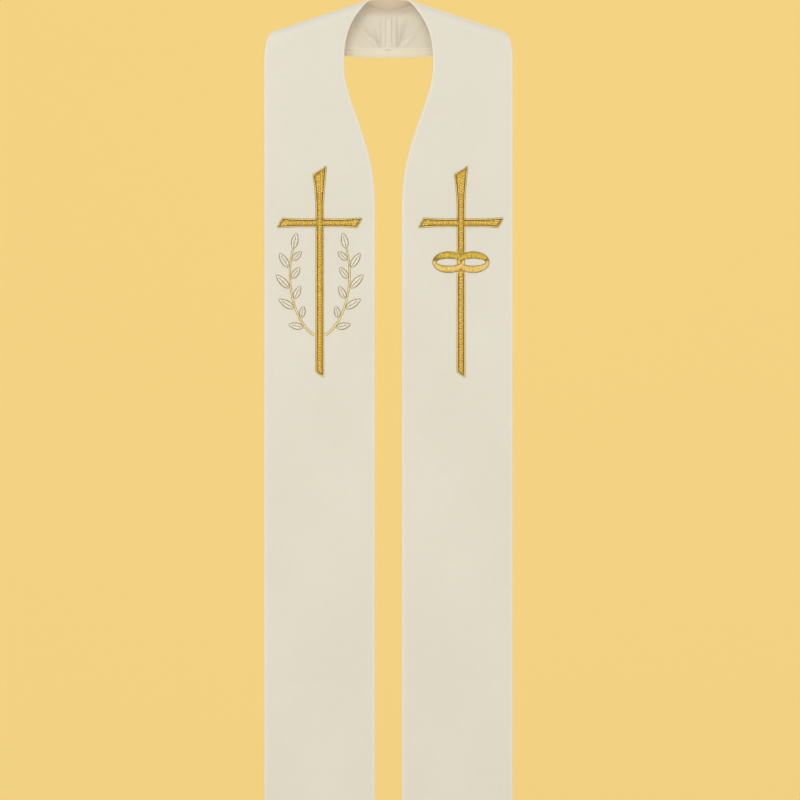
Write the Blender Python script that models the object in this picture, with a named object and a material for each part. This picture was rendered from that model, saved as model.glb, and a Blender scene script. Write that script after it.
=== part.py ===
"""Clerical stole, hanging from its two shoulder folds. Metres, +Z up, the fronts face -Y.

Each half is one long pattern piece: a straight front, a curved neck edge and a curved outer edge
that meet the other half at the centre-back seam. The pattern is drawn flat in the plane of the
front. It is then rolled over the shoulder fold, so the hung shape is the cut piece itself.
The origin lies midway between the neck ends of the two shoulder folds, where a wearer holds it.
"""

import collections
import math

import bmesh
import bpy
import numpy as np

# The cut of one half, as it hangs. X is measured from the middle, Z from the folds' neck ends.
FRONT_WIDTH = 0.1413
FRONT_GAP = 0.0344
HEM_Z = -1.320
NECK_CURVE_Z = -0.2626
NECK_WIDEST_X = 0.0568
NECK_WIDEST_Z = -0.0854
BACK_LOW_Z = -0.0732
SEAM_GAP = 0.0003

# The shoulder fold: its crest falls towards the shoulder, and the cloth rolls over it.
SHOULDER_SLOPE = math.radians(18.5)
FOLD_RADIUS = 0.016
CREST_NECK_X = 0.0234
CREST_ROUNDING = 0.008
ROUNDING_FADES = 0.048
BACK_TOP_DROP = 0.0035
SHOULDER_TAPER = 0.0073
TAPER_REACH = 0.045
TAPER_BEND = 0.30

# Handles of the pattern's curves, and the slant at which the neck edge crosses the fold.
NECK_LOWER_HANDLES = (0.080, 0.048)
NECK_UPPER_HANDLES = (0.061, 0.038)
NECK_BACK_HANDLES = (0.006, 0.012)
OUTER_BACK_HANDLES = (0.035, 0.094)
NECK_CROSSING = math.radians(74.5)

# Layers, measured inwards from the shell's outer face, and the turned-in edges.
SHELL_WALL = 0.0012
TURNED_WALL = 0.0022
LINING_OUTER = 0.0015
LINING_INNER = 0.0026
EDGE_ROUND = 0.0005
MARGIN = 0.0107
NECK_BACK_MARGIN = 0.0150
NECK_BACK_REACH = 0.030
STEP = 0.0001
HEM_MARGIN = 0.020
LINING_GAP = 0.0003

# Sections through a half, and how they crowd towards the fold.
STRAIGHT_ROWS = 22
CURVED_ROWS = 27
CURVED_EASE = 1.35
BACK_ROWS = 17
BACK_EASE = 1.25

# How far the hanging fronts sway out of their plane.
SWAY = 0.0016
TWIST = 0.0012
SWAY_LENGTH = 0.58
TWIST_LENGTH = 0.83
STILL_ABOVE_Z = -0.12
FULL_SWAY_Z = -0.34

# Raised embroidery: its gap to the cloth, and its height at the rim and along the middle.
STITCH_GAP = 0.0003
RIM_HEIGHT = 0.0005
MIDDLE_HEIGHT = 0.0009

# The two crosses. Widths are of the gold; each end is flared and cut on the slant.
CROSS_X = {"left": -0.0877, "right": 0.0924}
CROSS_TOP_Z = -0.2149
CROSS_HEIGHT = 0.2694
ARM_DROP = 0.0722
ARM_REACH = 0.0512
BAR = 0.0102
TOP_WIDTH = 0.0182
FOOT_WIDTH = 0.0108
ARM_END = 0.0132
TOP_SLANT = 0.0105
FOOT_SLANT = 0.0068
ARM_SLANT = 0.0068
TOP_FLARE = 0.050
ARM_FLARE = 0.024

# The linked rings over the right cross: two elliptical bands, each a half turn of the other.
# Each band is open where the other crosses over it.
RING_Z = -0.3373
RING_SPREAD = 0.0156
RING_HALF_WIDTH = 0.0205
RING_HALF_HEIGHT = 0.0135
RING_SIDE_BAND = 0.0043
RING_TALL_BAND = 0.0086
RING_GAP = 0.0003
SHAFT_STOP = 0.0122
SHAFT_POINT = 0.0028

# The leaf sprays beside the left cross: a bowed stem on each side, with leaves along it.
SPRAY_FOOT = (0.0072, -0.4300)
SPRAY_TIP = (0.0340, -0.3200)
SPRAY_BOWS = ((0.0300, -0.4180), (0.0460, -0.3650))
STEM_WIDTH = 0.0024
LEAF_LENGTH = 0.0230
LEAF_WIDTH = 0.0086
LEAF_TIP_WIDTH = 0.0006
LEAF_SPREAD = math.radians(38)
LEAF_GAP = 0.0005
LEAVES = (
    # share of the stem, side of the stem (1 outside), size against the longest leaf
    (0.14, 1, 0.80),
    (0.24, -1, 0.62),
    (0.36, 1, 0.95),
    (0.46, -1, 0.74),
    (0.58, 1, 1.00),
    (0.68, -1, 0.74),
    (0.80, 1, 0.90),
    (0.88, -1, 0.66),
    (1.00, 0, 0.86),
)

COLOURS = {
    # name: red, green, blue, metallic, roughness
    "ivory_cloth": (0.76, 0.71, 0.59, 0.0, 0.80),
    "ivory_lining": (0.72, 0.65, 0.52, 0.0, 0.60),
    "gold_thread": (0.72, 0.45, 0.08, 0.6, 0.40),
    "cream_thread": (0.78, 0.70, 0.50, 0.1, 0.45),
}

ALONG = np.array([math.cos(SHOULDER_SLOPE), -math.sin(SHOULDER_SLOPE)])
UP = np.array([math.sin(SHOULDER_SLOPE), math.cos(SHOULDER_SLOPE)])
QUARTER_TURN = math.pi / 2 * FOLD_RADIUS
CREST_START = np.array([CREST_NECK_X, 0.0]) + UP * (QUARTER_TURN - FOLD_RADIUS)


def clear_scene():
    for obj in list(bpy.data.objects):
        bpy.data.objects.remove(obj, do_unlink=True)


def cloth_material(name):
    red, green, blue, metallic, roughness = COLOURS[name]
    material = bpy.data.materials.new(name)
    material.use_nodes = True
    shader = material.node_tree.nodes["Principled BSDF"]
    shader.inputs["Base Color"].default_value = (red, green, blue, 1.0)
    shader.inputs["Metallic"].default_value = metallic
    shader.inputs["Roughness"].default_value = roughness
    return material


def add_piece(name, points, faces, material):
    """One closed, outward-facing mesh object."""
    mesh = bpy.data.meshes.new(name)
    mesh.from_pydata([tuple(point) for point in points], [], faces)
    shape = bmesh.new()
    shape.from_mesh(mesh)
    bmesh.ops.recalc_face_normals(shape, faces=shape.faces)
    shape.to_mesh(mesh)
    shape.free()
    mesh.shade_smooth()
    mesh.set_sharp_from_angle(angle=math.radians(35))
    mesh.materials.append(material)
    obj = bpy.data.objects.new(name, mesh)
    bpy.context.collection.objects.link(obj)
    return obj


def smooth_step(value):
    value = min(max(value, 0.0), 1.0)
    return value * value * (3 - 2 * value)


def bezier(controls, count=60):
    """Points along the Bezier curve of any number of controls."""
    t = np.linspace(0, 1, count)[:, None]
    degree = len(controls) - 1
    terms = [
        math.comb(degree, k) * (1 - t) ** (degree - k) * t**k * np.asarray(controls[k])
        for k in range(degree + 1)
    ]
    return sum(terms)


def walk(curve, fractions):
    """Points at these fractions of a polyline's length."""
    steps = np.linalg.norm(np.diff(curve, axis=0), axis=1)
    length = np.concatenate([[0], np.cumsum(steps)])
    wanted = np.asarray(fractions) * length[-1]
    return np.stack([np.interp(wanted, length, curve[:, k]) for k in (0, 1)], axis=1)


def height(x, drop):
    """Z of a point below the fold's crest, which is rounded where it tops the centre back."""
    straight = math.tan(SHOULDER_SLOPE) * (CREST_NECK_X - abs(x))
    run = math.hypot(x, CREST_ROUNDING) - math.hypot(CREST_NECK_X, CREST_ROUNDING)
    rounded = -math.tan(SHOULDER_SLOPE) * run
    share = max(0.0, 1 - drop / ROUNDING_FADES) ** 2
    return straight + (rounded - straight) * share - drop / math.cos(SHOULDER_SLOPE)


def hang(flat):
    """(x, drop below the crest, side) of a point of the flat pattern; the back is side 1."""
    offset = np.asarray(flat) - CREST_START
    along, over = offset @ ALONG, offset @ UP
    if abs(over) < QUARTER_TURN:
        drop = FOLD_RADIUS * (1 - math.cos(over / FOLD_RADIUS))
    else:
        drop = FOLD_RADIUS + abs(over) - QUARTER_TURN
    x = CREST_NECK_X + along * math.cos(SHOULDER_SLOPE) - drop * math.sin(SHOULDER_SLOPE)
    return x, drop, 1 if over > 0 else -1


def centre_back(drop):
    """The flat pattern's point that hangs at this drop on the centre-back seam."""
    if drop < FOLD_RADIUS:
        over = FOLD_RADIUS * math.acos(1 - drop / FOLD_RADIUS)
    else:
        over = drop - FOLD_RADIUS + QUARTER_TURN
    run = SEAM_GAP / 2 - CREST_NECK_X + drop * math.sin(SHOULDER_SLOPE)
    return CREST_START + ALONG * run / math.cos(SHOULDER_SLOPE) + UP * over


def sway(x, z):
    """How far a front hangs out of its plane here, towards the back if positive."""
    growth = smooth_step((STILL_ABOVE_Z - z) / (STILL_ABOVE_Z - FULL_SWAY_Z))
    side = math.copysign(1, x)
    across = (abs(x) - FRONT_GAP / 2) / FRONT_WIDTH - 0.5
    long_wave = SWAY * math.sin(2 * math.pi * z / SWAY_LENGTH + 0.7 * side)
    turn = TWIST * across * 2 * math.sin(2 * math.pi * z / TWIST_LENGTH + 1.9 * side)
    return growth * (long_wave + turn)


def on_cloth(x, drop, side, out):
    """A point at this distance outside the shell's outer face; x is signed by the half."""
    turn = math.acos(1 - min(drop / FOLD_RADIUS, 1.0))
    lean = math.atan(math.tan(SHOULDER_SLOPE) * x / math.hypot(x, CREST_ROUNDING))
    z = height(x, drop)
    y = side * FOLD_RADIUS * math.sin(turn)
    if side < 0:
        y += sway(x, z)
    normal = np.array(
        [math.sin(lean) * math.cos(turn), side * math.sin(turn), math.cos(lean) * math.cos(turn)]
    )
    return np.array([x, y, z]) + normal * out


def pattern_sections(first_z):
    """(neck x, neck drop, outer x, outer drop, side) for each section, from first_z to the back."""
    inner_x, outer_x = FRONT_GAP / 2, FRONT_GAP / 2 + FRONT_WIDTH
    curve_start = np.array([inner_x, NECK_CURVE_Z])
    widest = np.array([NECK_WIDEST_X, NECK_WIDEST_Z])
    up = np.array([0.0, 1.0])
    crossing = np.array([-math.cos(NECK_CROSSING), math.sin(NECK_CROSSING)])
    seam_square = np.array([-math.cos(2 * SHOULDER_SLOPE), math.sin(2 * SHOULDER_SLOPE)])

    low, high = NECK_LOWER_HANDLES
    lower = bezier([curve_start, curve_start + up * low, widest - up * high, widest])
    low, high = NECK_UPPER_HANDLES
    upper = bezier([widest, widest + up * low, CREST_START - crossing * high, CREST_START])
    back_top = centre_back(BACK_TOP_DROP)
    near, far = NECK_BACK_HANDLES
    neck_back = bezier(
        [CREST_START, CREST_START + crossing * near, back_top - seam_square * far, back_top]
    )

    corner = CREST_START + ALONG * (outer_x - SHOULDER_TAPER - CREST_START[0]) / ALONG[0]
    taper_start = np.array([outer_x, corner[1] - TAPER_REACH])
    taper_bend = taper_start + up * TAPER_REACH * TAPER_BEND
    shoulder = bezier([taper_start, taper_bend, corner])
    leaning = (corner - taper_bend) / np.linalg.norm(corner - taper_bend)
    low_drop = (math.tan(SHOULDER_SLOPE) * CREST_NECK_X - BACK_LOW_Z) * math.cos(SHOULDER_SLOPE)
    back_low = centre_back(low_drop)
    near, far = OUTER_BACK_HANDLES
    outer_back = bezier([corner, corner + leaning * near, back_low - seam_square * far, back_low])

    straight = np.linspace(first_z, NECK_CURVE_Z, STRAIGHT_ROWS, endpoint=False)
    curved = 1 - (1 - np.linspace(0, 1, CURVED_ROWS)) ** CURVED_EASE
    fanned = np.linspace(0, 1, BACK_ROWS)[1:] ** BACK_EASE
    neck = [np.array([inner_x, z]) for z in straight]
    outer = [np.array([outer_x, z]) for z in straight]
    neck += list(walk(np.concatenate([lower, upper[1:]]), curved))
    outer_start = np.array([[outer_x, NECK_CURVE_Z]])
    outer += list(walk(np.concatenate([outer_start, shoulder]), curved))
    neck += list(walk(neck_back, fanned))
    outer += list(walk(outer_back, fanned))

    rows = []
    for neck_point, outer_point in zip(neck, outer):
        neck_x, neck_drop, _ = hang(neck_point)
        end_x, end_drop, side = hang(outer_point)
        rows.append((neck_x, neck_drop, end_x, end_drop, side))
    return rows


def section_ring(row, profile, half):
    """The row's points round a wall; profile holds (distance from the neck edge, height)."""
    neck_x, neck_drop, end_x, end_drop, side = row
    rise = height(neck_x, neck_drop) - height(end_x, end_drop)
    width = math.hypot(end_x - neck_x, rise)
    centred = smooth_step(1 - neck_x / NECK_BACK_REACH) if side > 0 else 0.0
    neck_margin = MARGIN + (NECK_BACK_MARGIN - MARGIN) * centred
    ring = []
    for distance, rise_out in profile(width, neck_margin):
        share = distance / width
        x = neck_x + (end_x - neck_x) * share
        drop = neck_drop + (end_drop - neck_drop) * share
        ring.append(on_cloth(half * x, max(drop, 0.0), side, rise_out))
    return ring


def shell_profile(inside, rim):
    """Round the shell's wall: outer face, rounded fold, turned margin, inside, margin, fold."""

    def profile(width, neck_margin):
        face = np.linspace(EDGE_ROUND, width - EDGE_ROUND, 12)
        middle = np.linspace(width - MARGIN - STEP, neck_margin + STEP, 9)
        lip, back = -EDGE_ROUND, EDGE_ROUND - TURNED_WALL
        return (
            [(d, -rim) for d in face]
            + [(width, lip), (width, back), (width - EDGE_ROUND, rim - TURNED_WALL)]
            + [(width - MARGIN, rim - TURNED_WALL)]
            + [(d, rim - inside) for d in middle]
            + [(neck_margin, rim - TURNED_WALL), (EDGE_ROUND, rim - TURNED_WALL)]
            + [(0, back), (0, lip)]
        )

    return profile


def lining_profile(width, neck_margin):
    """Round the lining's wall, which stands a little proud of the shell's turned margins."""
    start, end = neck_margin + LINING_GAP, width - MARGIN - LINING_GAP
    outer_face = np.linspace(start, end, 9)
    inner_face = outer_face[::-1].copy()
    inner_face[0] -= EDGE_ROUND
    inner_face[-1] += EDGE_ROUND
    edge = EDGE_ROUND - LINING_INNER
    return (
        [(d, -LINING_OUTER) for d in outer_face]
        + [(end, edge)]
        + [(d, -LINING_INNER) for d in inner_face]
        + [(start, edge)]
    )


def loft(name, rings, material):
    """A closed wall through the rings, capped at both ends."""
    size = len(rings[0])
    points = [point for ring in rings for point in ring]
    faces = []
    for row in range(len(rings) - 1):
        for k in range(size):
            after = (k + 1) % size
            low, high = row * size, (row + 1) * size
            faces.append((low + k, low + after, high + after, high + k))
    faces.append(tuple(range(size)))
    last = (len(rings) - 1) * size
    faces.append(tuple(range(last + size - 1, last - 1, -1)))
    return add_piece(name, points, faces, material)


def add_shell(side_name, half, material):
    hem_rows = [
        (HEM_Z, TURNED_WALL, EDGE_ROUND),
        (HEM_Z + EDGE_ROUND, TURNED_WALL, 0.0),
        (HEM_Z + HEM_MARGIN - STEP, TURNED_WALL, 0.0),
    ]
    rows = pattern_sections(HEM_Z + HEM_MARGIN)
    rings = []
    for z, inside, rim in hem_rows:
        hem_row = pattern_sections(z)[0]
        rings.append(section_ring(hem_row, shell_profile(inside, rim), half))
    for row in rows:
        rings.append(section_ring(row, shell_profile(SHELL_WALL, 0.0), half))
    return loft("shell_" + side_name, rings, material)


def add_lining(side_name, half, material):
    rows = pattern_sections(HEM_Z + HEM_MARGIN + LINING_GAP)
    rings = [section_ring(row, lining_profile, half) for row in rows]
    return loft("lining_" + side_name, rings, material)


def raised_piece(name, patches, material):
    """A plate of stitching on a front. Each patch is a grid of (x, z, height) points."""
    index, layout, cells = {}, [], []
    for grid in patches:
        numbered = []
        for row in grid:
            numbers = []
            for x, z, height in row:
                key = (round(x, 6), round(z, 6))
                if key not in index:
                    index[key] = len(layout)
                    layout.append((x, z, height))
                numbers.append(index[key])
            numbered.append(numbers)
        for low, high in zip(numbered, numbered[1:]):
            for k in range(len(low) - 1):
                cells.append((low[k], low[k + 1], high[k + 1], high[k]))
    count = len(layout)
    points = [
        on_front(x, z, STITCH_GAP + height) for x, z, height in layout
    ] + [on_front(x, z, STITCH_GAP) for x, z, _ in layout]
    shared = collections.Counter(
        frozenset(pair) for cell in cells for pair in zip(cell, cell[1:] + cell[:1])
    )
    faces = list(cells) + [tuple(count + k for k in reversed(cell)) for cell in cells]
    for start, end in (tuple(pair) for pair, uses in shared.items() if uses == 1):
        faces.append((end, start, count + start, count + end))
    return add_piece(name, points, faces, material)


def on_front(x, z, out):
    """A point of the front at this x and z, this far outside its outer face."""
    crest = math.tan(SHOULDER_SLOPE) * (CREST_NECK_X - abs(x))
    drop = (crest - z) * math.cos(SHOULDER_SLOPE)
    return on_cloth(x, drop, -1, out)


def bar_rows(start, end, half_width_at, end_slant, count, points=(0.0, 0.0)):
    """Grid rows along a straight bar, each a rim, a middle and a rim; the end is cut on a slant.

    The points say how far the middle stands out beyond the rims, at the start and at the end.
    """
    start, end = np.array(start), np.array(end)
    direction = (end - start) / np.linalg.norm(end - start)
    across = np.array([-direction[1], direction[0]])
    rows = []
    for k in range(count + 1):
        share = k / count
        slant = end_slant * share**3
        middle = start + (end - start) * share
        half = half_width_at(share)
        row = []
        for side, height in ((1, RIM_HEIGHT), (0, MIDDLE_HEIGHT), (-1, RIM_HEIGHT)):
            place = middle + across * half * side + direction * slant / 2 * side
            if side == 0 and k in (0, count):
                place = place + direction * (points[1] if k else -points[0])
            row.append((place[0], place[1], height))
        rows.append(row)
    return rows


def flare(narrow, wide, begins):
    """Half the width along a bar that widens towards its end."""

    def half_width(share):
        grown = max(share - begins, 0) / (1 - begins)
        return (narrow + (wide - narrow) * grown**1.6) / 2

    return half_width


def cross_patches(x, shaft_end_z, foot_width, foot_slant, foot_point):
    """The cross's top, both arms, crossing and shaft, down to shaft_end_z."""
    arm_z = CROSS_TOP_Z - ARM_DROP
    half = BAR / 2
    top_z = CROSS_TOP_Z - TOP_SLANT / 2
    top_width = flare(BAR, TOP_WIDTH, 1 - TOP_FLARE / (ARM_DROP - half))
    arm_width = flare(BAR, ARM_END, 1 - ARM_FLARE / (ARM_REACH - half))
    upper = bar_rows((x, arm_z + half), (x, top_z), top_width, -TOP_SLANT, 9)
    left = bar_rows((x - half, arm_z), (x - ARM_REACH, arm_z), arm_width, ARM_SLANT, 7)
    right = bar_rows((x + half, arm_z), (x + ARM_REACH, arm_z), arm_width, ARM_SLANT, 7)
    shaft_width = flare(BAR, foot_width, 0.4)
    start, end = (x, arm_z - half), (x, shaft_end_z)
    lower = bar_rows(start, end, shaft_width, foot_slant, 14, (0.0, foot_point))
    centre = []
    for k in (1, 0, -1):
        row = []
        for j in (-1, 0, 1):
            height = MIDDLE_HEIGHT if j == 0 or k == 0 else RIM_HEIGHT
            row.append((x + j * half, arm_z + k * half, height))
        centre.append(row)
    return [upper, left, right, lower, centre]


def add_crosses(gold):
    """The left cross is whole; the right one's shaft is broken where the rings lie over it."""
    foot_z = CROSS_TOP_Z - CROSS_HEIGHT + FOOT_SLANT / 2
    x = CROSS_X["left"]
    raised_piece("cross_left", cross_patches(x, foot_z, FOOT_WIDTH, FOOT_SLANT, 0.0), gold)
    x = CROSS_X["right"]
    broken = cross_patches(x, RING_Z + SHAFT_STOP, BAR, 0.0, SHAFT_POINT)
    raised_piece("cross_right", broken, gold)
    foot_width = flare(BAR, FOOT_WIDTH, 0.2)
    start, end = (x, RING_Z - SHAFT_STOP), (x, foot_z)
    foot = bar_rows(start, end, foot_width, FOOT_SLANT, 9, (SHAFT_POINT, 0.0))
    raised_piece("cross_right_foot", [foot], gold)


def ring_radii(inset):
    """Half width and half height of a line round a ring, from its outer edge (0) to its inner (1)."""
    return RING_HALF_WIDTH - RING_SIDE_BAND * inset, RING_HALF_HEIGHT - RING_TALL_BAND * inset


def ring_meets(inset, edge, low, high):
    """The angle between low and high where a line round one ring crosses an edge of the other."""
    wide, tall = ring_radii(inset)
    for _ in range(40):
        angle = (low + high) / 2
        across = (wide * math.cos(angle) - 2 * RING_SPREAD) / edge[0]
        rise = tall * math.sin(angle) / edge[1]
        if across**2 + rise**2 < 1:
            low = angle
        else:
            high = angle
    return low


def ring_rows(half_turn):
    """Grid rows round one open elliptical band; the other ring is the same, turned half round."""
    turned = math.pi if half_turn else 0
    x = CROSS_X["right"] + (RING_SPREAD if half_turn else -RING_SPREAD)
    outside = [radius + RING_GAP for radius in ring_radii(0)]
    opening = [radius - RING_GAP for radius in ring_radii(1)]
    lines = []
    for inset in np.linspace(0, 1, 5):
        opens = ring_meets(inset, outside, math.radians(20), math.radians(80))
        closes = ring_meets(inset, opening, 0, math.radians(40)) + 2 * math.pi
        angles = np.linspace(opens, closes, 45) + turned
        wide, tall = ring_radii(inset)
        height = RIM_HEIGHT + (MIDDLE_HEIGHT - RIM_HEIGHT) * math.sin(math.pi * inset)
        lines.append([
            (x + wide * math.cos(angle), RING_Z + tall * math.sin(angle), height)
            for angle in angles
        ])
    return list(zip(*lines))


def add_rings(gold):
    raised_piece("ring_left", [ring_rows(False)], gold)
    raised_piece("ring_right", [ring_rows(True)], gold)


def ribbon_rows(curve, half_widths):
    """Grid rows along a curve, each a rim, a middle and a rim."""
    directions = np.gradient(curve, axis=0)
    rows = []
    for point, direction, half in zip(curve, directions, half_widths):
        across = np.array([-direction[1], direction[0]]) / np.linalg.norm(direction)
        rim, other_rim = point + across * half, point - across * half
        rows.append([(*rim, RIM_HEIGHT), (*point, MIDDLE_HEIGHT), (*other_rim, RIM_HEIGHT)])
    return rows


def leaf_rows(base, direction, size):
    """Grid rows of a pointed oval leaf."""
    shares = np.linspace(0, 1, 9)
    curve = np.array([base + direction * LEAF_LENGTH * size * share for share in shares])
    tip = LEAF_TIP_WIDTH / 2
    full = LEAF_WIDTH / 2 * (0.6 + 0.4 * size)
    half_widths = tip + (full - tip) * np.sin(np.pi * shares**0.85) ** 0.8
    return ribbon_rows(curve, half_widths)


def add_spray(side_name, mirror, gold, cream):
    """One bowed stem and its leaves; mirror is -1 on the cross's outer side, 1 on its inner side."""
    centre = np.array([CROSS_X["left"], 0.0])
    flip = np.array([mirror, 1.0])
    controls = [np.array(SPRAY_FOOT), *map(np.array, SPRAY_BOWS), np.array(SPRAY_TIP)]
    stem = walk(bezier(controls), np.linspace(0, 1, 15))
    half_widths = np.linspace(STEM_WIDTH / 2, STEM_WIDTH / 3, 15)
    rows = ribbon_rows(centre + stem * flip, half_widths)
    raised_piece(f"spray_{side_name}_stem", [rows], gold)
    for number, (share, side, size) in enumerate(LEAVES, 1):
        place, ahead = walk(stem, [share - 0.01, share])
        direction = (ahead - place) / np.linalg.norm(ahead - place)
        turn = -side * LEAF_SPREAD
        turned = np.array([
            direction[0] * math.cos(turn) - direction[1] * math.sin(turn),
            direction[0] * math.sin(turn) + direction[1] * math.cos(turn),
        ])
        away = STEM_WIDTH / 2 + LEAF_GAP + LEAF_TIP_WIDTH if side else LEAF_GAP
        outward = np.array([direction[1], -direction[0]]) * side if side else direction
        base = ahead + outward * away
        rows = leaf_rows(centre + base * flip, turned * flip, size)
        raised_piece(f"spray_{side_name}_leaf_{number}", [rows], cream)


def main():
    clear_scene()
    materials = {name: cloth_material(name) for name in COLOURS}
    for side_name, half in (("left", -1), ("right", 1)):
        add_shell(side_name, half, materials["ivory_cloth"])
        add_lining(side_name, half, materials["ivory_lining"])
    gold, cream = materials["gold_thread"], materials["cream_thread"]
    add_crosses(gold)
    add_rings(gold)
    add_spray("outer", -1, gold, cream)
    add_spray("inner", 1, gold, cream)


main()
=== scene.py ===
"""A clerical stole of ivory cloth with gold embroidery, hanging from its shoulder folds."""
import math

import bpy
import numpy as np
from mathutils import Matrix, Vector


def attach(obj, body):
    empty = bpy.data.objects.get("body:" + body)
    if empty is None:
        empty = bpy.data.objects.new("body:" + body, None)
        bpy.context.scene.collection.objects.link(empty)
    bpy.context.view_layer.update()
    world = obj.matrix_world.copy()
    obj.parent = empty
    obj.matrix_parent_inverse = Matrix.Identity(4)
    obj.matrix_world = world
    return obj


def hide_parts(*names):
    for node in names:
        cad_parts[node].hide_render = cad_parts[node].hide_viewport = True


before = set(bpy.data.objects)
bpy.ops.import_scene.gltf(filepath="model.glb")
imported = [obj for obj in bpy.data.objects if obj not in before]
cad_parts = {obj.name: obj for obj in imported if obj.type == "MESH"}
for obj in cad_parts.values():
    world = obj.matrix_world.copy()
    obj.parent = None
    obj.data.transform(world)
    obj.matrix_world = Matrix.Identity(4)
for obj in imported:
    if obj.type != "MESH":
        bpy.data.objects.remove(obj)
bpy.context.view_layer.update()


# The camera. The photograph was taken square on from in front, close enough that the hems are
# below its edge: one metre of cloth fills the frame.
PHOTO_CENTRE = (0.01466, -0.0160, -0.5130)
CAMERA_DISTANCE = 3.5
SEEN_WIDTH = 1.020
SENSOR_WIDTH = 36.0

camera_data = bpy.data.cameras.new("camera")
camera_data.sensor_width = SENSOR_WIDTH
camera_data.lens = SENSOR_WIDTH * CAMERA_DISTANCE / SEEN_WIDTH
camera = bpy.data.objects.new("camera", camera_data)
camera.location = (PHOTO_CENTRE[0], PHOTO_CENTRE[1] - CAMERA_DISTANCE, PHOTO_CENTRE[2])
camera.rotation_euler = (math.radians(90), 0, 0)
bpy.context.collection.objects.link(camera)
bpy.context.scene.camera = camera
bpy.context.scene.view_settings.view_transform = "Standard"


# The outer cloth: two long halves of matt ivory plain weave, each one piece from hem to the
# centre-back seam. Their edges are turned in over a soft interlining and pressed, and the cloth
# rolls over the wearer's shoulder. The halves are drawn flat here, as they are cut, then hung.
FRONT_WIDTH = 0.1413
FRONT_GAP = 0.0344
HEM_Z = -1.320
NECK_CURVE_Z = -0.2626
NECK_WIDEST = np.array([0.0568, -0.0854])
BACK_LOW_Z = -0.0732
SEAM_LAP = 0.0001

# How far the handles of each curve of the pattern reach from its two ends.
NECK_LOWER_HANDLES = (0.080, 0.048)
NECK_UPPER_HANDLES = (0.061, 0.038)
NECK_BACK_HANDLES = (0.006, 0.012)
OUTER_BACK_HANDLES = (0.035, 0.094)

# The shoulder fold: its crest falls towards the shoulder, and the cloth rolls over it.
SHOULDER_SLOPE = math.radians(18.5)
NECK_CROSSING = math.radians(74.5)
FOLD_RADIUS = 0.016
CREST_NECK_X = 0.0234
CREST_ROUNDING = 0.008
ROUNDING_FADES = 0.048
BACK_TOP_DROP = 0.0035
SHOULDER_TAPER = 0.0073
TAPER_REACH = 0.045
TAPER_BEND = 0.30

ALONG_FOLD = np.array([math.cos(SHOULDER_SLOPE), -math.sin(SHOULDER_SLOPE)])
OVER_FOLD = np.array([math.sin(SHOULDER_SLOPE), math.cos(SHOULDER_SLOPE)])
QUARTER_TURN = math.pi / 2 * FOLD_RADIUS
CREST_START = np.array([CREST_NECK_X, 0.0]) + OVER_FOLD * (QUARTER_TURN - FOLD_RADIUS)

# The cloth, its turned-in edges, and how the pressed edges round off.
CLOTH_THICKNESS = 0.0012
TURNED_THICKNESS = 0.0022
MARGIN = 0.0107
NECK_BACK_MARGIN = 0.0150
NECK_BACK_REACH = 0.030
HEM_MARGIN = 0.020
SOFT_EDGE = 0.0045
SOFT_EDGE_DIP = 0.00035

# The fronts sway out of their plane in one long wave and one slow twist.
SWAY_STARTS_Z = -0.12
SWAY_GROWS = 0.22
WAVE_DEPTH = 0.0016
WAVE_LENGTH = 0.58
TWIST_DEPTH = 0.0024
TWIST_LENGTH = 0.83

# Creases placed one by one: where each starts and ends on either half, its rise, half its width.
FRONT_CREASES = (
    ((0.040, -0.159), (0.072, -0.143), -0.0007, 0.0075),
    ((0.118, -0.060), (0.150, -0.098), -0.0007, 0.014),
    ((0.030, -0.560), (0.064, -0.640), 0.0007, 0.020),
    ((0.110, -0.640), (0.140, -0.760), -0.0008, 0.022),
    ((0.050, -0.930), (0.064, -1.060), 0.0009, 0.024),
    ((0.112, -0.900), (0.126, -1.010), -0.0009, 0.022),
)
BACK_CREASES = (
    ((0.012, -0.066), (0.030, -0.020), -0.0006, 0.0045),
    ((0.045, -0.080), (0.058, -0.030), 0.0006, 0.007),
    ((0.085, -0.088), (0.094, -0.040), -0.0006, 0.010),
)
# Folds kept from storage, right across a front: height, slope, rise, and how soon each fades.
STORAGE_FOLDS = ((-0.874, 0.05, -0.0011, 0.022), (-1.105, -0.04, 0.0008, 0.018))
STORAGE_FOLDS_X = 0.09


def smooth_step(value):
    value = np.clip(value, 0.0, 1.0)
    return value * value * (3 - 2 * value)


def bezier(controls, count=400):
    t = np.linspace(0, 1, count)[:, None]
    last = len(controls) - 1
    weights = [math.comb(last, k) * (1 - t) ** (last - k) * t**k for k in range(last + 1)]
    return sum(weight * np.asarray(control) for weight, control in zip(weights, controls))


def walk(curve, fractions):
    steps = np.linalg.norm(np.diff(curve, axis=0), axis=1)
    length = np.concatenate([[0], np.cumsum(steps)])
    wanted = np.asarray(fractions) * length[-1]
    return np.stack([np.interp(wanted, length, curve[:, k]) for k in (0, 1)], axis=1)


def height_of_cloth(x, drop):
    """Height of the cloth at a place this far down from the crest of the fold."""
    straight = math.tan(SHOULDER_SLOPE) * (CREST_NECK_X - np.abs(x))
    rounded = np.hypot(CREST_NECK_X, CREST_ROUNDING) - np.hypot(x, CREST_ROUNDING)
    rounded = math.tan(SHOULDER_SLOPE) * rounded
    share = np.clip(1 - drop / ROUNDING_FADES, 0, 1) ** 2
    return straight + (rounded - straight) * share - drop / math.cos(SHOULDER_SLOPE)


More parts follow.
